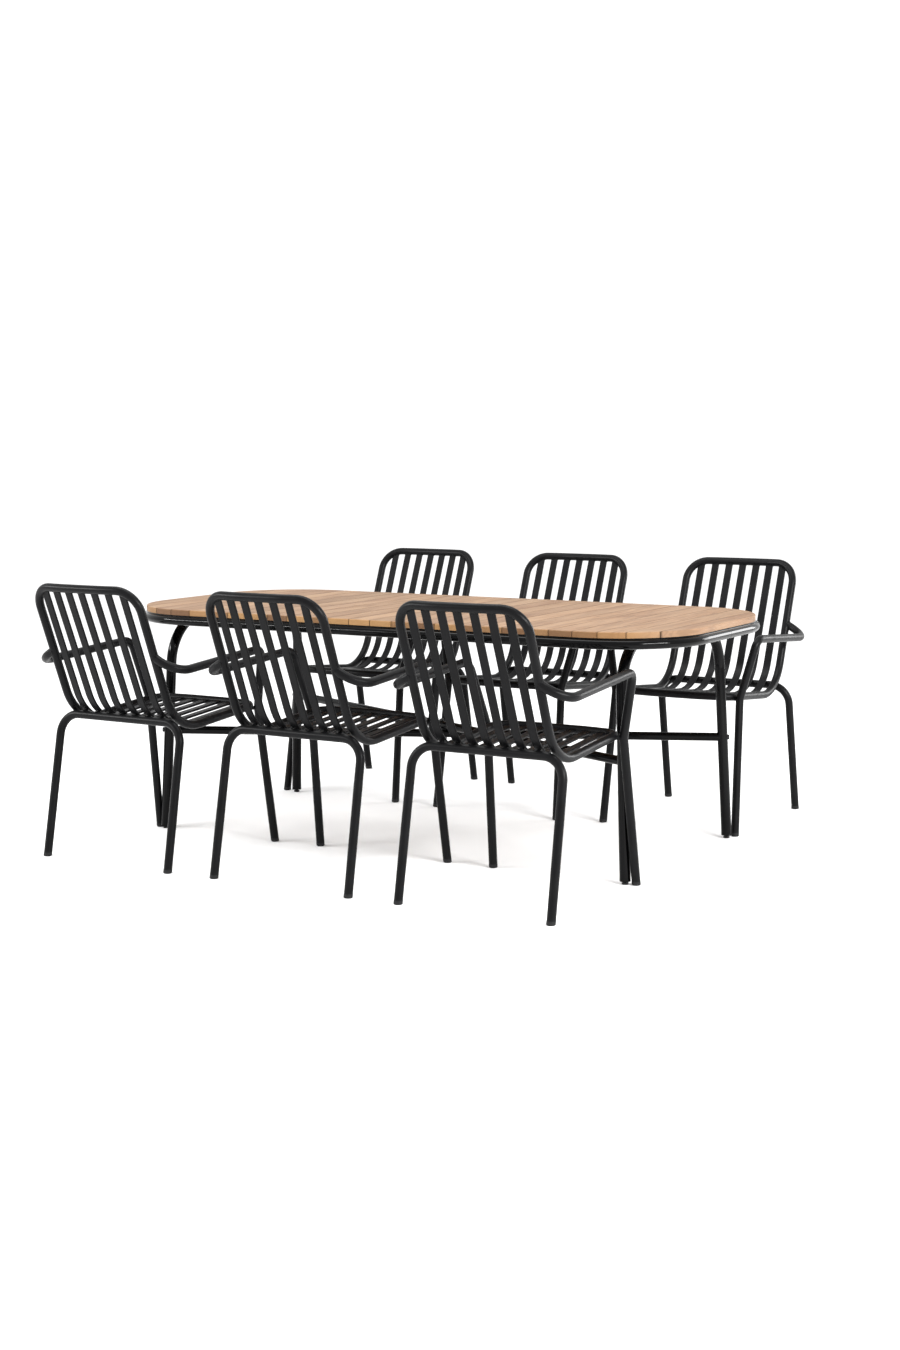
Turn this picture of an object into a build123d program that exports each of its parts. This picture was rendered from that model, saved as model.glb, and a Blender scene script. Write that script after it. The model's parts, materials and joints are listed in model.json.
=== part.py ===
from build123d import *
from math import copysign
import os

# A patio dining set: a table with a slatted wooden top on two steel leg frames,
# and six steel armchairs with slatted seats.
# Millimetres. X runs along the table, Y across it and Z up from the floor.
# The origin is on the floor, under the middle of the whole set.

os.makedirs("parts", exist_ok=True)

# Table top
top_length = 1986
top_width = 904
top_corner_radius = 281
top_height = 739
plank_count = 26
plank_gap = 2
plank_shift = 15
plank_thickness = 18
plank_edge = 1
top_edge_chamfer = 2

# Steel under the planks: a flat band round the edge, rails, and a round rim tube
band_width = 40
flat_bar = 4
rail_width = 30
rail_spacing = 170
rim_tube = 28
rim_bore = 22
rim_pin_length = 80
rim_seam_chamfer = 0.8

# Leg frames, each one tube bent into an upturned U that stands across the table
leg_tube = 33
leg_foot_x = 843
leg_foot_y = 380
leg_lean_x = 0.0431
leg_lean_y = 0.0309
leg_bend_radius = 150
leg_end_height = 9.5

# Crossed stretchers between the leg frames
stretcher_tube = 27
stretcher_low_height = 330
stretcher_spacing = 29

# Levelling glides
glide_width = 20
glide_height = 5
glide_stem = 8
glide_stem_top = 52
glide_chamfer = 1

# Chair seat and back: one closed loop of tube, with slats between its ends.
# Chair frame: X to the sitter's right, Y forwards, Z up, origin midway between the rear feet.
seat_tube = 26
seat_half_width = 198.4
back_top = (-68.3, 847)
seat_corner = (101.6, 410.9)
seat_front = (492.2, 446.7)
seat_bend_radius = 150
back_corner_radius = 75
front_corner_radius = 50

# The loop's top bows backwards in the middle, and its front bows forwards.
# The slats follow both, and at the seat bend they bow backwards a little.
top_bow = 18
bend_bow = 8
front_bow = 16
bow_half_length = 80
bow_radius = 400
slat_count = 7
slat_pitch = 50.5
slat_width = 26
slat_thickness = 7
slat_edge_radius = 2.5

# Chair rear legs: an upturned U whose cross tube lies under the seat bend
chair_leg_tube = 26
rear_foot_x = 240
rear_corner_x = 237.2
cross_tube_angle = 228
rear_bend_radius = 65
spacer_stud = 12
spacer_stud_length = 21

# Chair arms: each runs from the front foot past the seat and round to the back
front_foot = (237.3, 540, 0)
seat_joint = (222.5, 479, 439)
arm_front = (267, 444, 635)
arm_outer_corner = (275, 16, 603)
arm_end = (198.4, 10, 645)
seat_joint_radius = 40
arm_front_radius = 35
arm_corner_radius = 70
arm_stud_length = 30

# Plastic caps in the ends of the chair legs
cap_width = 26.6
cap_height = 12
cap_chamfer = 2.5
plug_width = 19
plug_length = 15

# Fasteners, and the room that a hole leaves round them
small_screw = 4
small_screw_head = 8
small_screw_head_height = 2.4
small_screw_offset = 12
small_screw_cover = 4
frame_bolt = 6
stretcher_bolt = 8
bolt_thread_length = 25
bolt_head_height = 5
bolt_seat_depth = 3
hole_room = 0.6
thread_room = 0.2

# Where each chair stands: its rear feet from the middle of the table, and its turn
near_chairs = [(-648, -915, -1.25), (-5, -913, -1.2), (638, -913, 0)]
far_chairs = [(-645, 928, 178.75), (-4, 918, 179.3), (619, 958, 180)]

plank_bottom = top_height - plank_thickness
rail_bottom = plank_bottom - flat_bar
rim_height = rail_bottom - rim_tube / 2
leg_top_height = rail_bottom - leg_tube / 2
plank_pitch = top_length / plank_count
bore_top = cap_height + plug_length + hole_room

# The rearmost chairs set how far the table stands from the middle of the set
back_reach = seat_tube / 2 + top_bow - back_top[0]
nearest_back = min(y for x, y, turn in near_chairs) - back_reach
farthest_back = max(y for x, y, turn in far_chairs) + back_reach
table_y = -(nearest_back + farthest_back) / 2


def bent_tube(points, radii, diameter):
    """A round tube along straight runs joined by tangent arcs."""
    with BuildPart() as tube:
        with BuildLine() as route:
            FilletPolyline(*points, radius=radii)
        with BuildSketch(Plane(origin=route.line @ 0, z_dir=route.line % 0)):
            Circle(diameter / 2)
        sweep()
    return tube.part


def bar(start, end, diameter):
    """A straight round bar between two points."""
    axis = Vector(end) - Vector(start)
    with BuildPart() as rod:
        with BuildSketch(Plane(origin=start, z_dir=axis)):
            Circle(diameter / 2)
        extrude(amount=axis.length)
    return rod.part


def leaning_round(foot, lean, low, high, diameter):
    """A round bar with level ends, leaning as its leg leans."""
    slope = Vector(*lean, 1)
    with BuildPart() as rod:
        with BuildSketch(Plane(origin=Vector(foot) + slope * low)):
            Circle(diameter / 2)
        extrude(amount=(high - low) * slope.length, dir=slope.normalized())
    return rod.part


def foot_cap(foot, lean):
    """A cap under a chair leg, with a plug that fills the end of the tube."""
    with BuildPart() as cap:
        add(leaning_round(foot, lean, 0, cap_height, cap_width))
        chamfer(cap.faces().sort_by(Axis.Z)[0].edges(), cap_chamfer)
        add(leaning_round(foot, lean, cap_height, cap_height + plug_length, plug_width))
    return cap.part


def leg_point(side_x, side_y, height):
    """The middle of a table leg at a height."""
    x = side_x * (leg_foot_x - leg_lean_x * height)
    y = side_y * (leg_foot_y - leg_lean_y * height)
    return Vector(x, y, height)


# ---------------------------------------------------------------- table

rail_places = [-rail_spacing, 0, rail_spacing]
leg_top_x = leg_point(1, 1, leg_top_height).X

# The gaps between planks are a little off to one side of the table's middle. The screws,
# one for each plank in each outer rail, are not, and none of them meets a leg frame
screw_columns = [plank_pitch * (i - (plank_count - 1) / 2) for i in range(plank_count)]
screw_places = [
    (x - copysign(small_screw_offset, x), y)
    for x in screw_columns
    for y in (-rail_spacing, rail_spacing)
]
frame_bolt_places = [(x, y) for x in (-leg_top_x, leg_top_x) for y in rail_places]
screw_hole_top = top_height - small_screw_cover

with BuildPart() as planks:
    with BuildSketch(Plane.XY.offset(plank_bottom)):
        RectangleRounded(top_length, top_width, top_corner_radius)
    extrude(amount=plank_thickness)
    chamfer(planks.faces().sort_by(Axis.Z)[-1].edges(), top_edge_chamfer)
    with BuildSketch(Plane.XZ):
        with Locations((plank_shift, top_height)):
            with GridLocations(plank_pitch, 0, plank_count - 1, 1):
                Rectangle(plank_gap, 3 * plank_thickness)
                RegularPolygon(plank_gap / 2 + plank_edge, side_count=4)
    extrude(amount=top_width, both=True, mode=Mode.SUBTRACT)
    with BuildSketch(Plane.XY.offset(plank_bottom)):
        with Locations(*screw_places):
            Circle((small_screw + thread_room) / 2)
    extrude(amount=screw_hole_top - plank_bottom, mode=Mode.SUBTRACT)

plank_row = planks.solids().sort_by(Axis.X)
plank_groups = {
    "top_planks_left_end": plank_row[0:5],
    "top_planks_left": plank_row[5:10],
    "top_planks_middle": plank_row[10:16],
    "top_planks_right": plank_row[16:21],
    "top_planks_right_end": plank_row[21:26],
}
table_pieces = {}
for plank_group, solids in plank_groups.items():
    with BuildPart() as group:
        add(solids)
    table_pieces[plank_group] = group.part

with BuildPart() as support_band:
    with BuildSketch(Plane.XY.offset(rail_bottom)):
        RectangleRounded(top_length, top_width, top_corner_radius)
        RectangleRounded(
            top_length - 2 * band_width,
            top_width - 2 * band_width,
            top_corner_radius - band_width,
            mode=Mode.SUBTRACT,
        )
    extrude(amount=flat_bar)
table_pieces["support_band"] = support_band.part

for rail_name, rail_y in zip(("near_rail", "middle_rail", "far_rail"), rail_places):
    with BuildPart() as rail:
        with BuildSketch(Plane.XY.offset(rail_bottom)):
            with Locations((0, rail_y)):
                Rectangle(top_length - band_width, rail_width)
            with Locations(*[place for place in screw_places if place[1] == rail_y]):
                Circle((small_screw + hole_room) / 2, mode=Mode.SUBTRACT)
            with Locations(*[place for place in frame_bolt_places if place[1] == rail_y]):
                Circle((frame_bolt + hole_room) / 2, mode=Mode.SUBTRACT)
        extrude(amount=flat_bar)
        add(support_band.part, mode=Mode.SUBTRACT)
    table_pieces[rail_name] = rail.part

# The rim tube comes in two halves, joined by a pin at the middle of each short end
rim_end_x = top_length / 2
rim_points = [
    (-rim_end_x, 0, rim_height),
    (-rim_end_x, top_width / 2, rim_height),
    (rim_end_x, top_width / 2, rim_height),
    (rim_end_x, 0, rim_height),
]
with BuildPart() as far_rim:
    add(bent_tube(rim_points, [top_corner_radius, top_corner_radius], rim_tube))
    chamfer(far_rim.faces().group_by(Axis.Y)[0].edges(), rim_seam_chamfer)
    with BuildSketch(Plane.XZ):
        with Locations((-rim_end_x, rim_height), (rim_end_x, rim_height)):
            Circle(rim_bore / 2)
    extrude(amount=-(rim_pin_length + 2) / 2, mode=Mode.SUBTRACT)
table_pieces["rim_tube_far_half"] = far_rim.part

with BuildPart() as near_rim:
    mirror(far_rim.part, about=Plane.XZ)
table_pieces["rim_tube_near_half"] = near_rim.part

with BuildPart() as rim_pins:
    with BuildSketch(Plane.XZ):
        with Locations((-rim_end_x, rim_height), (rim_end_x, rim_height)):
            Circle((rim_bore - thread_room) / 2)
    extrude(amount=rim_pin_length / 2, both=True)
table_pieces["rim_joint_pins"] = rim_pins.part

# The stretchers cross, one above the other, each on bolts through two opposite legs
stretcher_high_height = stretcher_low_height + stretcher_spacing
stretcher_ends = {
    "low_stretcher": (leg_point(-1, -1, stretcher_low_height), leg_point(1, 1, stretcher_low_height)),
    "high_stretcher": (leg_point(1, -1, stretcher_high_height), leg_point(-1, 1, stretcher_high_height)),
}
right_joints = [stretcher_ends["low_stretcher"][1], stretcher_ends["high_stretcher"][0]]

# Each leg frame has a bore in each foot for a glide, and holes for its bolts
with BuildPart() as right_leg_frame:
    frame_points = [
        leg_point(1, -1, 0),
        leg_point(1, -1, leg_top_height),
        leg_point(1, 1, leg_top_height),
        leg_point(1, 1, 0),
    ]
    add(bent_tube(frame_points, [leg_bend_radius, leg_bend_radius], leg_tube))
    split(bisect_by=Plane.XY.offset(leg_end_height), keep=Keep.TOP)
    for side_y in (-1, 1):
        with BuildSketch(Plane(leg_point(1, side_y, leg_end_height))):
            Circle((glide_stem + hole_room) / 2)
        extrude(amount=glide_stem_top - glide_height, mode=Mode.SUBTRACT)
    with BuildSketch(Plane.XY.offset(leg_top_height - leg_tube)):
        with Locations(*[place for place in frame_bolt_places if place[0] > 0]):
            Circle((frame_bolt + hole_room) / 2)
    extrude(amount=2 * leg_tube, mode=Mode.SUBTRACT)
    for joint in right_joints:
        with BuildSketch(Plane(origin=joint, z_dir=(joint.X, joint.Y, 0))):
            Circle((stretcher_bolt + hole_room) / 2)
        extrude(amount=leg_tube, both=True, mode=Mode.SUBTRACT)
table_pieces["right_leg_frame"] = right_leg_frame.part

with BuildPart(Plane(origin=(0, 0, 0), x_dir=(-1, 0, 0), z_dir=(0, 0, 1))) as left_leg_frame:
    add(right_leg_frame.part)
table_pieces["left_leg_frame"] = left_leg_frame.part
leg_frames = [right_leg_frame.part, left_leg_frame.part]

for stretcher_name, (start, end) in stretcher_ends.items():
    along = (end - start).normalized()
    with BuildPart() as stretcher:
        add(bar(start, end, stretcher_tube))
        add(leg_frames, mode=Mode.SUBTRACT)
        for joint, inwards in ((start, along), (end, -along)):
            with BuildSketch(Plane(origin=joint, z_dir=inwards)):
                Circle((stretcher_bolt + thread_room) / 2)
            extrude(amount=leg_tube / 2 + bolt_thread_length + hole_room, mode=Mode.SUBTRACT)
        with BuildSketch(Plane.XY.offset(start.Z - stretcher_tube)):
            Circle((stretcher_bolt + hole_room) / 2)
        extrude(amount=2 * stretcher_tube, mode=Mode.SUBTRACT)
    table_pieces[stretcher_name] = stretcher.part

# Each stretcher bolt's head is shaped underneath to sit on the round leg
with BuildPart() as stretcher_bolts:
    for start, end in stretcher_ends.values():
        along = (end - start).normalized()
        for joint, inwards in ((start, along), (end, -along)):
            head_start = joint - inwards * (leg_tube / 2 + bolt_head_height)
            with BuildSketch(Plane(origin=head_start, z_dir=inwards)):
                Circle(stretcher_bolt)
            extrude(amount=bolt_head_height + bolt_seat_depth)
            with BuildSketch(Plane(origin=head_start, z_dir=inwards)):
                Circle(stretcher_bolt / 2)
            extrude(amount=leg_tube + bolt_head_height + bolt_thread_length)
    add(leg_frames, mode=Mode.SUBTRACT)
table_pieces["stretcher_bolts"] = stretcher_bolts.part

# The bolt, washer and nut where the stretchers cross
cross_top = stretcher_high_height + stretcher_tube / 2
cross_bottom = stretcher_low_height - stretcher_tube / 2
crossing = [table_pieces["low_stretcher"], table_pieces["high_stretcher"]]
with BuildPart() as bolt:
    with BuildSketch(Plane.XY.offset(cross_bottom - bolt_head_height)):
        Circle(stretcher_bolt / 2)
    extrude(amount=cross_top - cross_bottom + 2 * bolt_head_height)
    with BuildSketch(Plane.XY.offset(cross_top - bolt_seat_depth)):
        RegularPolygon(stretcher_bolt, side_count=6)
    extrude(amount=bolt_seat_depth + bolt_head_height)
    add(crossing, mode=Mode.SUBTRACT)
with BuildPart() as washer:
    with BuildSketch(Plane.XY.offset(stretcher_low_height + stretcher_tube / 2)):
        Circle(stretcher_bolt)
        Circle((stretcher_bolt + hole_room) / 2, mode=Mode.SUBTRACT)
    extrude(amount=stretcher_spacing - stretcher_tube)
with BuildPart() as nut:
    with BuildSketch(Plane.XY.offset(cross_bottom - bolt_head_height)):
        RegularPolygon(stretcher_bolt, side_count=6)
        Circle((stretcher_bolt + thread_room) / 2, mode=Mode.SUBTRACT)
    extrude(amount=bolt_seat_depth + bolt_head_height)
    add(crossing, mode=Mode.SUBTRACT)
with BuildPart() as centre_bolt:
    add([bolt.part, washer.part, nut.part])
table_pieces["centre_bolt"] = centre_bolt.part

with BuildPart() as leg_frame_bolts:
    with BuildSketch(Plane.XY.offset(leg_top_height - leg_tube / 2 - bolt_head_height)):
        with Locations(*frame_bolt_places):
            Circle(frame_bolt)
    extrude(amount=bolt_head_height + bolt_seat_depth)
    with BuildSketch(Plane.XY.offset(leg_top_height - leg_tube / 2)):
        with Locations(*frame_bolt_places):
            Circle(frame_bolt / 2)
    extrude(amount=leg_tube + flat_bar)
    add(leg_frames, mode=Mode.SUBTRACT)
table_pieces["leg_frame_bolts"] = leg_frame_bolts.part

with BuildPart() as plank_screws:
    with BuildSketch(Plane.XY.offset(rail_bottom - small_screw_head_height)):
        with Locations(*screw_places):
            Circle(small_screw_head / 2)
    extrude(amount=small_screw_head_height)
    with BuildSketch(Plane.XY.offset(rail_bottom)):
        with Locations(*screw_places):
            Circle(small_screw / 2)
    extrude(amount=screw_hole_top - thread_room - rail_bottom)
table_pieces["plank_screws"] = plank_screws.part

for side_x, side_y in ((-1, -1), (1, -1), (1, 1), (-1, 1)):
    glide_name = f"glide_{'near' if side_y < 0 else 'far'}_{'left' if side_x < 0 else 'right'}"
    stem_middle = leg_point(side_x, side_y, leg_end_height)
    with BuildPart() as glide:
        with BuildSketch(Plane((stem_middle.X, stem_middle.Y, 0))):
            Circle(glide_width / 2)
        extrude(amount=glide_height)
        chamfer(glide.faces().sort_by(Axis.Z)[0].edges(), glide_chamfer)
        with BuildSketch(Plane((stem_middle.X, stem_middle.Y, glide_height))):
            Circle(glide_stem / 2)
        extrude(amount=glide_stem_top - glide_height)
    table_pieces[glide_name] = glide.part

# ---------------------------------------------------------------- chair

top_middle_y = back_top[0] - top_bow
front_middle_y = seat_front[0] + front_bow
seat_frame_points = [
    (0, top_middle_y, back_top[1]),
    (bow_half_length, top_middle_y, back_top[1]),
    (seat_half_width, *back_top),
    (seat_half_width, *seat_corner),
    (seat_half_width, *seat_front),
    (bow_half_length, front_middle_y, seat_front[1]),
    (0, front_middle_y, seat_front[1]),
]
seat_frame_radii = [bow_radius, back_corner_radius, seat_bend_radius, front_corner_radius, bow_radius]
with BuildPart() as seat_frame:
    add(bent_tube(seat_frame_points, seat_frame_radii, seat_tube))
    mirror(about=Plane.YZ)

# Each slat runs from the top tube to the front tube, bowed more the nearer it is to the middle
slat_places = [slat_pitch * (i - (slat_count - 1) / 2) for i in range(slat_count)]
with BuildPart() as slats:
    for slat_x in slat_places:
        bow_share = 1 - (slat_x / seat_half_width) ** 2
        with BuildLine() as slat_line:
            FilletPolyline(
                (slat_x, back_top[0] - top_bow * bow_share, back_top[1]),
                (slat_x, seat_corner[0] - bend_bow * bow_share, seat_corner[1]),
                (slat_x, seat_front[0] + front_bow * bow_share, seat_front[1]),
                radius=seat_bend_radius,
            )
        with BuildSketch(Plane(slat_line.line @ 0, x_dir=(1, 0, 0), z_dir=slat_line.line % 0)):
            RectangleRounded(slat_width, slat_thickness, slat_edge_radius)
        sweep()
    add(seat_frame.part, mode=Mode.SUBTRACT)

# The cross tube of the rear legs touches the side tubes' seat bends from behind and below
with BuildLine() as side_line:
    FilletPolyline((0, *back_top), (0, *seat_corner), (0, *seat_front), radius=seat_bend_radius)
bend_middle = side_line.edges().filter_by(GeomType.CIRCLE)[0].arc_center
towards_cross = Vector(0, 1, 0).rotate(Axis.X, cross_tube_angle)
cross_middle = bend_middle + towards_cross * (seat_bend_radius + (seat_tube + chair_leg_tube) / 2)
rear_lean = ((rear_foot_x - rear_corner_x) / cross_middle.Z, cross_middle.Y / cross_middle.Z)
cap_places = [((side * rear_foot_x, 0, 0), (-side * rear_lean[0], rear_lean[1])) for side in (-1, 1)]

with BuildPart() as rear_legs:
    rear_points = [
        (-rear_foot_x, 0, 0),
        (-rear_corner_x, cross_middle.Y, cross_middle.Z),
        (rear_corner_x, cross_middle.Y, cross_middle.Z),
        (rear_foot_x, 0, 0),
    ]
    add(bent_tube(rear_points, [rear_bend_radius, rear_bend_radius], chair_leg_tube))
    split(bisect_by=Plane.XY.offset(cap_height), keep=Keep.TOP)
    for slat_x in slat_places:
        with BuildSketch(Plane(cross_middle + Vector(slat_x, 0, 0), z_dir=-towards_cross)):
            Circle(spacer_stud / 2)
        extrude(amount=spacer_stud_length)
    add(slats.part, mode=Mode.SUBTRACT)
    for foot, lean in cap_places:
        add(leaning_round(foot, lean, cap_height, bore_top, plug_width + thread_room), mode=Mode.SUBTRACT)

# The right arm, with a short stud where it is welded to the seat's front corner
front_lean = (
    (seat_joint[0] - front_foot[0]) / seat_joint[2],
    (seat_joint[1] - front_foot[1]) / seat_joint[2],
)
front_corner_middle = Vector(
    seat_half_width - front_corner_radius,
    seat_front[0] - front_corner_radius,
    seat_joint[2],
)
with BuildPart() as right_arm:
    arm_points = [front_foot, seat_joint, arm_front, arm_outer_corner, arm_end]
    add(bent_tube(arm_points, [seat_joint_radius, arm_front_radius, arm_corner_radius], chair_leg_tube))
    split(bisect_by=Plane.XY.offset(cap_height), keep=Keep.TOP)
    stud_start = Vector(*seat_joint)
    stud_line = (front_corner_middle - stud_start).normalized()
    add(bar(stud_start, stud_start + stud_line * arm_stud_length, spacer_stud))
    add(seat_frame.part, mode=Mode.SUBTRACT)
    front_bore = leaning_round(front_foot, front_lean, cap_height, bore_top, plug_width + thread_room)
    add(front_bore, mode=Mode.SUBTRACT)

with BuildPart() as left_arm:
    mirror(right_arm.part, about=Plane.YZ)

cap_places.append((front_foot, front_lean))
cap_places.append(((-front_foot[0], front_foot[1], 0), (-front_lean[0], front_lean[1])))
with BuildPart() as foot_caps:
    for foot, lean in cap_places:
        add(foot_cap(foot, lean))

chair_pieces = {
    "seat_frame": seat_frame.part,
    "slats": slats.part,
    "rear_legs": rear_legs.part,
    "right_arm": right_arm.part,
    "left_arm": left_arm.part,
    "foot_caps": foot_caps.part,
}

# ---------------------------------------------------------------- the set

for node_name, piece in table_pieces.items():
    with BuildPart(Plane((0, table_y, 0))) as placed:
        add(piece)
    placed.part.label = node_name
    export_step(placed.part, f"parts/{node_name}.step")

for number, (x, y, turn) in enumerate(near_chairs + far_chairs, start=1):
    sitters_right = Vector(1, 0, 0).rotate(Axis.Z, turn)
    chair_plane = Plane(origin=(x, y + table_y, 0), x_dir=sitters_right, z_dir=(0, 0, 1))
    for piece_name, piece in chair_pieces.items():
        with BuildPart(chair_plane) as placed:
            add(piece)
        placed.part.label = f"chair_{number}_{piece_name}"
        export_step(placed.part, f"parts/chair_{number}_{piece_name}.step")
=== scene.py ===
import json
import math

import bmesh
import bpy
from mathutils import Matrix, Vector, noise
from mathutils.bvhtree import BVHTree


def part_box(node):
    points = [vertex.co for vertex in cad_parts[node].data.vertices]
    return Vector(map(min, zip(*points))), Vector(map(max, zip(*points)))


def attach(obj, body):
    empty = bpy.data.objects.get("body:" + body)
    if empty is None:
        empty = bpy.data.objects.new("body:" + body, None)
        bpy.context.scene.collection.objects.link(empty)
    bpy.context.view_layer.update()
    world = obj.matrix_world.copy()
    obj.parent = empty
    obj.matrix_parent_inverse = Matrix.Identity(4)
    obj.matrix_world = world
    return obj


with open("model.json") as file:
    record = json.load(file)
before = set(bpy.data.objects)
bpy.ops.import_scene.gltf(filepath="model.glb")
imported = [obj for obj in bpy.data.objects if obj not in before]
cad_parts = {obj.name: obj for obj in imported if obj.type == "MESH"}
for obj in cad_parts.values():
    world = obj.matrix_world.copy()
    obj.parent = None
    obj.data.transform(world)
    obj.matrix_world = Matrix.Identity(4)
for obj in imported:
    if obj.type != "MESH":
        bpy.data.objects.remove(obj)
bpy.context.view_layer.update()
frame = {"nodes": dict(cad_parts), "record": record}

# A patio dining set: planked table and six slatted steel armchairs.
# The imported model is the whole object. This script gives every piece its material,
# adds the weld beads that join the tubes, and sets the studio round them.

nodes = frame["nodes"]

# The two groups of planks left of the middle one have five planks each. The very first
# plank is wider than the rest, and FIRST_PLANK is where it would begin if it were not
GROUP_PLANKS = 5
left_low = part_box("top_planks_left")[0]
middle_low, middle_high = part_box("top_planks_middle")
PLANK_PITCH = (middle_low.x - left_low.x) / GROUP_PLANKS
FIRST_PLANK = left_low.x - GROUP_PLANKS * PLANK_PITCH
TABLE_Y = (middle_low.y + middle_high.y) / 2


# ---------------------------------------------------------------- materials

class Maker:
    """Adds shader nodes to one material, with short calls for the usual ones."""

    def __init__(self, name):
        self.material = bpy.data.materials.new(name)
        self.material.use_nodes = True
        self.tree = self.material.node_tree
        self.shader = self.tree.nodes["Principled BSDF"]
        self.position = self.add("ShaderNodeTexCoord").outputs["Object"]

    def add(self, kind, **settings):
        node = self.tree.nodes.new(kind)
        for key, value in settings.items():
            setattr(node, key, value)
        return node

    def feed(self, socket, value):
        if isinstance(value, bpy.types.NodeSocket):
            self.tree.links.new(value, socket)
        else:
            socket.default_value = value

    def math(self, operation, first, second=0.0):
        node = self.add("ShaderNodeMath", operation=operation)
        for socket, value in zip(node.inputs, (first, second)):
            self.feed(socket, value)
        return node.outputs[0]

    def split(self, vector):
        node = self.add("ShaderNodeSeparateXYZ")
        self.feed(node.inputs[0], vector)
        return node.outputs

    def join(self, x, y, z):
        node = self.add("ShaderNodeCombineXYZ")
        for socket, value in zip(node.inputs, (x, y, z)):
            self.feed(socket, value)
        return node.outputs[0]

    def stretched(self, *factors):
        """The place on the object, with each axis scaled by its own factor."""
        parts = zip(self.split(self.position), factors)
        return self.join(*(self.math("MULTIPLY", part, factor) for part, factor in parts))

    def noise(self, vector, scale, detail=4.0, roughness=0.55, distortion=0.0):
        node = self.add("ShaderNodeTexNoise")
        self.feed(node.inputs["Vector"], vector)
        node.inputs["Scale"].default_value = scale
        node.inputs["Detail"].default_value = detail
        node.inputs["Roughness"].default_value = roughness
        node.inputs["Distortion"].default_value = distortion
        return node.outputs["Fac"]

    def span(self, value, low, high, to_low=0.0, to_high=1.0):
        node = self.add("ShaderNodeMapRange")
        for socket, number in zip(node.inputs, (value, low, high, to_low, to_high)):
            self.feed(socket, number)
        return node.outputs[0]

    def mix(self, factor, first, second):
        """Blends two colours. A Mix node keeps its colour sockets after those of other types."""
        node = self.add("ShaderNodeMix", data_type="RGBA")
        self.feed(node.inputs[0], factor)
        self.feed(node.inputs[6], first)
        self.feed(node.inputs[7], second)
        return node.outputs[2]

    def bump(self, height, distance, strength):
        node = self.add("ShaderNodeBump")
        node.inputs["Strength"].default_value = strength
        node.inputs["Distance"].default_value = distance
        self.feed(node.inputs["Height"], height)
        return node.outputs[0]

    def finish(self, **sockets):
        for name, value in sockets.items():
            self.feed(self.shader.inputs[name.replace("_", " ")], value)
        return self.material


# Colours of the planks' faces and of their sawn ends
WOOD_STRAW = (0.285, 0.170, 0.092, 1)
WOOD_BROWN = (0.15, 0.082, 0.040, 1)
WOOD_ROSE = (0.22, 0.118, 0.064, 1)
WOOD_RING = (0.09, 0.043, 0.019, 1)
WOOD_FIBRE = (0.11, 0.058, 0.029, 1)
WOOD_CLOUD = (0.34, 0.232, 0.143, 1)
WOOD_PORE = (0.07, 0.035, 0.016, 1)
# Darker band at the plank edges: oil and dirt, plus painted shade of the gaps between planks
WOOD_EDGE_OIL_AND_SHADE = (0.05, 0.026, 0.012, 1)
END_PALE = (0.36, 0.195, 0.070, 1)
END_DARK = (0.115, 0.052, 0.019, 1)
END_MOUTH = (0.13, 0.06, 0.025, 1)


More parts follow.
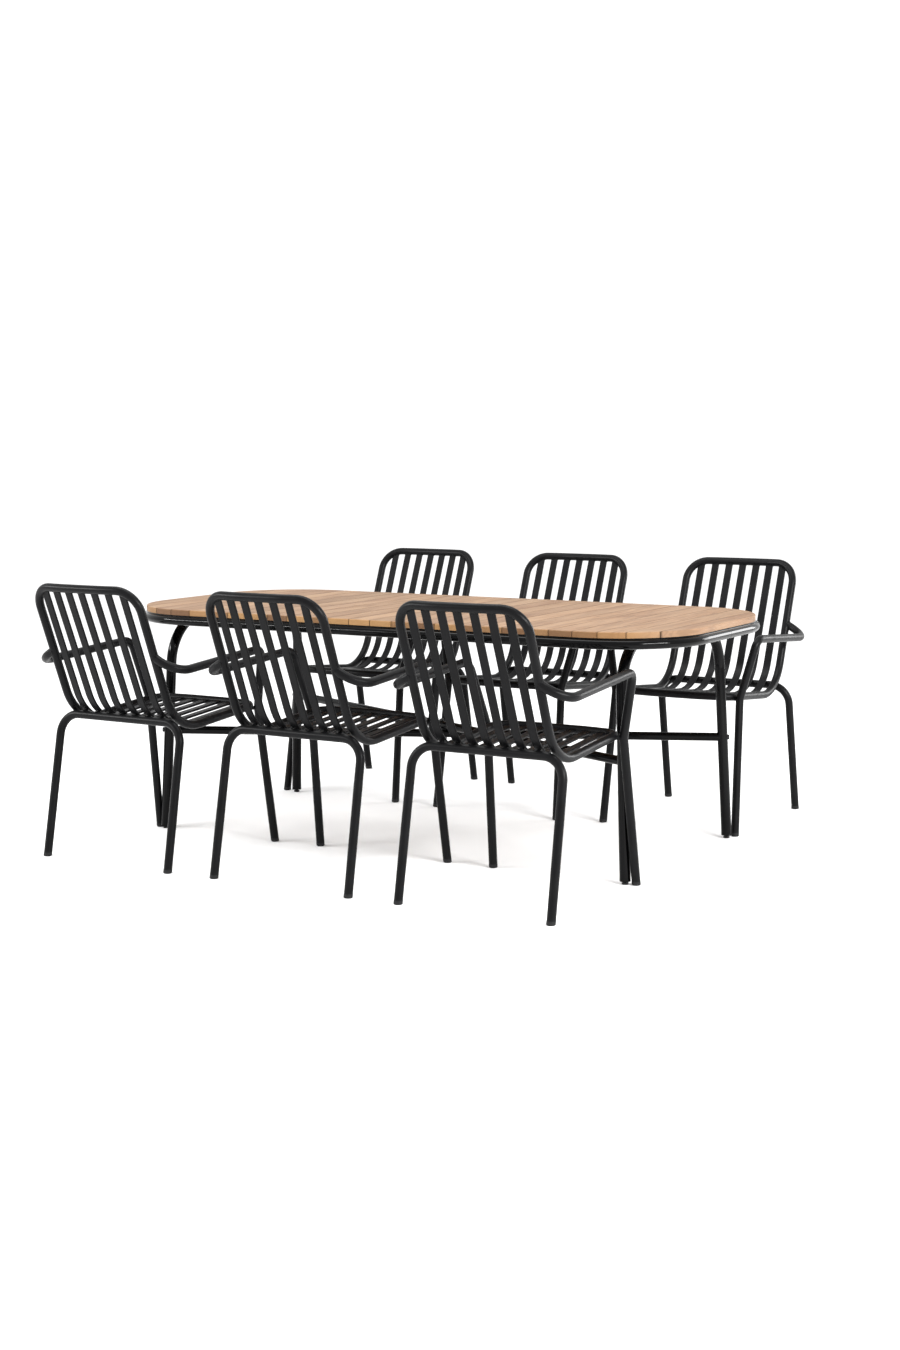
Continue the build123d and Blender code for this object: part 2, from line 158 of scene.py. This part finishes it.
def wood():
    """Pale oiled hardwood planks that run across the table, each cut from its own board."""
    m = Maker("wood_planks")
    x, y, z = m.split(m.position)
    from_first = m.math("DIVIDE", m.math("SUBTRACT", x, FIRST_PLANK), PLANK_PITCH)
    # The wider part of the first plank counts as that plank too
    boards = m.math("MAXIMUM", from_first, 0.1)
    board = m.add("ShaderNodeTexWhiteNoise", noise_dimensions="1D")
    m.feed(board.inputs["W"], m.math("FLOOR", boards))
    tone, shift, figure = m.split(board.outputs["Color"])

    # Growth rings, fibres and pores, all drawn out along the plank
    slow_y = m.math("ADD", m.math("MULTIPLY", y, 0.55), m.math("MULTIPLY", shift, 9.0))
    across = m.math("ADD", m.math("MULTIPLY", x, 9.0), m.math("MULTIPLY", tone, 31.0))
    grain_place = m.join(across, slow_y, m.math("MULTIPLY", z, 9.0))
    rings = m.noise(grain_place, 1.6, detail=3.0, roughness=0.5, distortion=0.6)
    ring_lines = m.math("SINE", m.math("MULTIPLY", rings, 70.0))
    fibres = m.noise(m.stretched(420.0, 9.0, 420.0), 1.0, detail=5.0, roughness=0.65)
    pores = m.span(m.noise(m.stretched(1500.0, 60.0, 1500.0), 1.0, detail=2.0), 0.62, 0.72)
    cloud = m.noise(m.join(across, m.math("MULTIPLY", y, 2.2), shift), 1.3, detail=2.0)
    face = m.mix(m.span(tone, 0.0, 1.0), WOOD_STRAW, WOOD_BROWN)
    face = m.mix(m.span(figure, 0.35, 0.9, 0.0, 0.55), face, WOOD_ROSE)
    face = m.mix(m.span(ring_lines, -0.2, 1.0, 0.0, 0.5), face, WOOD_RING)
    face = m.mix(m.span(fibres, 0.35, 0.75, 0.0, 0.48), face, WOOD_FIBRE)
    face = m.mix(m.span(cloud, 0.35, 0.7, 0.0, 0.36), face, WOOD_CLOUD)
    face = m.mix(m.math("MULTIPLY", pores, 0.4), face, WOOD_PORE)

    # The long edges of each plank are darker: partly oil and dirt that gather there, partly painted
    # shade standing in for the shadow in the gaps and bevels between planks
    off_middle = m.math("ABSOLUTE", m.math("SUBTRACT", m.math("FRACT", boards), 0.5))
    face = m.mix(m.span(off_middle, 0.45, 0.48, 0.0, 0.8), face, WOOD_EDGE_OIL_AND_SHADE)

    # The sawn ends of the planks drink more oil and show dark pore mouths
    normal = m.add("ShaderNodeNewGeometry").outputs["Normal"]
    end_grain = m.span(m.math("ABSOLUTE", m.split(normal)[1]), 0.55, 0.85)
    mouths = m.span(m.noise(m.position, 900.0, detail=2.0), 0.5, 0.7)
    end = m.mix(m.span(figure, 0.2, 0.8), END_PALE, END_DARK)
    end = m.mix(m.math("MULTIPLY", mouths, 0.6), end, END_MOUTH)

    height = m.math("SUBTRACT", m.math("MULTIPLY", fibres, 0.5), m.math("MULTIPLY", pores, 0.5))
    return m.finish(
        Base_Color=m.mix(m.math("MULTIPLY", end_grain, 0.8), face, end),
        Roughness=m.span(fibres, 0.3, 0.75, 0.52, 0.68),
        Specular_IOR_Level=0.25,
        Normal=m.bump(height, 0.0004, 0.6),
    )


def powder_coat(name, dark, light, roughness, grain_depth, **sockets):
    """Powder-coated steel: a fine orange-peel skin with faint clouds in its shade and sheen."""
    m = Maker(name)
    peel = m.noise(m.position, 900.0, detail=3.0, roughness=0.6)
    speck = m.noise(m.position, 3500.0, detail=2.0)
    cloud = m.noise(m.position, 14.0, detail=4.0)
    colour = m.mix(m.span(cloud, 0.3, 0.7), (*dark, 1), (*light, 1))
    fleck = m.math("MULTIPLY", m.span(speck, 0.6, 0.8), 0.35)
    fleck_colour = tuple(1.8 * c for c in light) + (1,)
    sheen = m.math("ADD", m.math("MULTIPLY", cloud, 0.6), m.math("MULTIPLY", peel, 0.4))
    height = m.math("ADD", m.math("MULTIPLY", peel, 0.7), m.math("MULTIPLY", speck, 0.3))
    return m.finish(
        Base_Color=m.mix(fleck, colour, fleck_colour),
        Roughness=m.span(sheen, 0.3, 0.7, *roughness),
        Normal=m.bump(height, grain_depth, 0.5),
        **sockets,
    )


def moulded_plastic():
    """Black moulded caps and glides: a fine even texture, scuffed paler where they rub the floor."""
    m = Maker("black_plastic")
    texture = m.noise(m.position, 2200.0, detail=2.0)
    scuffs = m.span(m.noise(m.position, 260.0, detail=5.0, distortion=1.5), 0.5, 0.75)
    low = m.span(m.split(m.position)[2], 0.0, 0.006, 1.0, 0.0)
    black, scuffed = (0.008, 0.008, 0.0085, 1), (0.035, 0.034, 0.033, 1)
    return m.finish(
        Base_Color=m.mix(m.math("MULTIPLY", scuffs, low), black, scuffed),
        Roughness=m.span(texture, 0.3, 0.7, 0.5, 0.68),
        Specular_IOR_Level=0.2,
        Normal=m.bump(texture, 0.0002, 0.5),
    )


def dress(node, material):
    """Gives every face of a CAD node one material."""
    mesh = nodes[node].data
    mesh.materials.clear()
    mesh.materials.append(material)


MATERIALS = {
    "wood_planks": wood(),
    "chair_steel": powder_coat(
        "chair_coat",
        dark=(0.0025, 0.0025, 0.0028),
        light=(0.0045, 0.0045, 0.005),
        roughness=(0.3, 0.42),
        grain_depth=0.00012,
        Specular_IOR_Level=0.09,
    ),
    "table_steel": powder_coat(
        "table_coat",
        dark=(0.0008, 0.0008, 0.0009),
        light=(0.0016, 0.0016, 0.0018),
        roughness=(0.08, 0.15),
        grain_depth=0.00004,
        Specular_IOR_Level=0.1,
    ),
    "fasteners": powder_coat(
        "fastener_coat",
        dark=(0.005, 0.005, 0.0054),
        light=(0.01, 0.01, 0.0108),
        roughness=(0.28, 0.4),
        grain_depth=0.0001,
        Specular_IOR_Level=0.3,
    ),
    "chair_caps": moulded_plastic(),
}
MATERIALS["table_glides"] = MATERIALS["chair_caps"]
for entry in frame["record"]["subparts"]:
    dress(entry["node"], MATERIALS[entry["material_slot"]])


# ---------------------------------------------------------------- weld beads

# Points of two pieces this close to each other count as touching
CONTACT_ROOM = 0.0004
MERGE_ROOM = 1e-6
SHORTEST_EDGE = 1e-9
SHORTEST_CHAIN = 6

# Each bead is a ring of short steps round a line, and swells and shrinks along it
BEAD_RADIUS = 0.0016
BEAD_STEP = 0.0022
BEAD_SIDES = 8
FEWEST_STEPS = 12
RIPPLE_DEPTH = 0.10
RIPPLE_TURN = 2.1
LUMP_DEPTH = 0.25
LUMPS_PER_METRE = 400


def contact_chains(node, other):
    """The closed lines on one piece where it meets another, each as a list of points."""
    shape = bmesh.new()
    shape.from_mesh(nodes[node].data)
    bmesh.ops.remove_doubles(shape, verts=shape.verts, dist=MERGE_ROOM)
    surface = BVHTree.FromPolygons(
        [v.co for v in nodes[other].data.vertices],
        [p.vertices for p in nodes[other].data.polygons],
    )

    def touches(point):
        return surface.find_nearest(point, CONTACT_ROOM)[0] is not None

    near = {v for v in shape.verts if touches(v.co)}
    inside = {
        f for f in shape.faces
        if all(v in near for v in f.verts) and touches(f.calc_center_median())
    }
    lines = {}
    for edge in shape.edges:
        if len([f for f in edge.link_faces if f in inside]) == 1:
            first, second = edge.verts
            lines.setdefault(first, []).append(second)
            lines.setdefault(second, []).append(first)
    chains = []
    while lines:
        start = min(lines, key=lambda v: v.index)
        chain = [start]
        while lines.get(chain[-1]):
            here = chain[-1]
            following = lines[here].pop()
            lines[following].remove(here)
            chain.append(following)
        for vert in chain:
            if not lines.get(vert):
                lines.pop(vert, None)
        if chain[0] is chain[-1] and len(chain) > SHORTEST_CHAIN:
            chains.append([v.co.copy() for v in chain[:-1]])
    shape.free()
    return chains


def even_loop(points):
    """The same closed line with its points evenly spaced."""
    closed = points + points[:1]
    lengths = [(b - a).length for a, b in zip(closed, closed[1:])]
    count = max(FEWEST_STEPS, round(sum(lengths) / BEAD_STEP))
    step = sum(lengths) / count
    loop, travelled, part = [], 0.0, 0
    for i in range(count):
        while travelled + lengths[part] < i * step and part < len(lengths) - 1:
            travelled += lengths[part]
            part += 1
        share = (i * step - travelled) / max(lengths[part], SHORTEST_EDGE)
        loop.append(closed[part].lerp(closed[part + 1], min(share, 1.0)))
    return loop


def bead(shape, points):
    """A rippled bead of weld metal laid round a closed line."""
    loop = even_loop(points)
    count = len(loop)
    middle = sum(loop, Vector()) / count
    rings = []
    for i, point in enumerate(loop):
        along = (loop[(i + 1) % count] - loop[i - 1]).normalized()
        outwards = point - middle
        outwards = (outwards - along * outwards.dot(along)).normalized()
        third = along.cross(outwards)
        ripple = 1 + RIPPLE_DEPTH * math.sin(i * RIPPLE_TURN)
        ripple += LUMP_DEPTH * noise.noise(point * LUMPS_PER_METRE)
        angles = [2 * math.pi * k / BEAD_SIDES for k in range(BEAD_SIDES)]
        spokes = [outwards * math.cos(t) + third * math.sin(t) for t in angles]
        rings.append([shape.verts.new(point + spoke * BEAD_RADIUS * ripple) for spoke in spokes])
    for i in range(count):
        ring, following = rings[i], rings[(i + 1) % count]
        for k in range(BEAD_SIDES):
            j = (k + 1) % BEAD_SIDES
            shape.faces.new((ring[k], ring[j], following[j], following[k]))


def weld(name, body, joints):
    """One piece that holds every weld bead of a body."""
    shape = bmesh.new()
    for node, other in joints:
        for chain in contact_chains(node, other):
            bead(shape, chain)
    mesh = bpy.data.meshes.new(name)
    bmesh.ops.recalc_face_normals(shape, faces=shape.faces)
    shape.to_mesh(mesh)
    shape.free()
    mesh.shade_smooth()
    mesh.materials.append(MATERIALS["chair_steel"])
    piece = bpy.data.objects.new(name, mesh)
    bpy.context.scene.collection.objects.link(piece)
    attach(piece, body)


for number in range(1, 7):
    part = f"chair_{number}_"
    weld(part + "welds", f"chair_{number}", [
        (part + "slats", part + "seat_frame"),
        (part + "rear_legs", part + "slats"),
        (part + "right_arm", part + "seat_frame"),
        (part + "left_arm", part + "seat_frame"),
    ])


# ---------------------------------------------------------------- studio

# The set is seen from in front of its right-hand end, from about a seated person's eye height
CAMERA_PLACE = Vector((3.269, TABLE_Y - 5.508, 1.313))
CAMERA_YAW = math.radians(30.44)
CAMERA_PITCH = math.radians(-7.05)
CAMERA_ROLL = math.radians(-0.21)
CAMERA_LENS = 52.98
WORLD_STRENGTH = 1.25

# The floor lies a hair under the feet, so that the two do not share a plane
FLOOR_DROP = 0.0002
FLOOR_RADIUS = 60

# Each softbox's place, the point it faces, its width and height, and its power in watts
SOFTBOXES = {
    "overhead": ((0, -0.4, 3.6), (0, 0, 0), (3.5, 1.2), 85),
    "key_strip": ((-4.0, -3.6, 2.4), (-0.4, 0, 0.7), (3.2, 0.25), 210),
    "corner_strip": ((4.4, -1.5, 2.2), (0.9, -0.2, 0.7), (2.2, 0.3), 260),
    "right_wall": ((2.9, 4.2, 1.5), (1.0, 0, 0.7), (1.8, 1.6), 110),
}


def make_camera():
    camera = bpy.data.objects.new("camera", bpy.data.cameras.new("camera"))
    camera.data.sensor_width = 36
    camera.data.lens = CAMERA_LENS
    turn = Matrix.Rotation(CAMERA_YAW, 4, "Z") @ Matrix.Rotation(math.pi / 2 + CAMERA_PITCH, 4, "X")
    camera.matrix_world = Matrix.Translation(CAMERA_PLACE) @ turn @ Matrix.Rotation(CAMERA_ROLL, 4, "Z")
    bpy.context.scene.collection.objects.link(camera)
    bpy.context.scene.camera = camera


def softbox(name, place, target, size, power):
    light = bpy.data.objects.new(name, bpy.data.lights.new(name, "AREA"))
    light.data.shape = "RECTANGLE"
    light.data.size, light.data.size_y = size
    light.data.energy = power
    light.location = place
    light.rotation_euler = (Vector(target) - Vector(place)).to_track_quat("-Z", "Y").to_euler()
    bpy.context.scene.collection.objects.link(light)


def make_floor():
    mesh = bpy.data.meshes.new("floor")
    shape = bmesh.new()
    bmesh.ops.create_circle(shape, cap_ends=True, radius=FLOOR_RADIUS, segments=96)
    shape.to_mesh(mesh)
    shape.free()
    floor = bpy.data.objects.new("floor", mesh)
    floor.location.z = -FLOOR_DROP
    m = Maker("floor")
    tone = m.span(m.noise(m.position, 1.5, detail=2.0), 0.3, 0.7)
    colour = m.mix(tone, (0.90, 0.90, 0.90, 1), (0.93, 0.93, 0.93, 1))
    mesh.materials.append(m.finish(Base_Color=colour, Roughness=0.8))
    bpy.context.scene.collection.objects.link(floor)


def make_world():
    world = bpy.data.worlds.new("studio")
    world.use_nodes = True
    background = world.node_tree.nodes["Background"]
    background.inputs["Color"].default_value = (1, 1, 1, 1)
    background.inputs["Strength"].default_value = WORLD_STRENGTH
    bpy.context.scene.world = world


make_camera()
make_floor()
make_world()
for light_name, setting in SOFTBOXES.items():
    softbox(light_name, *setting)
bpy.context.scene.view_settings.view_transform = "Standard"
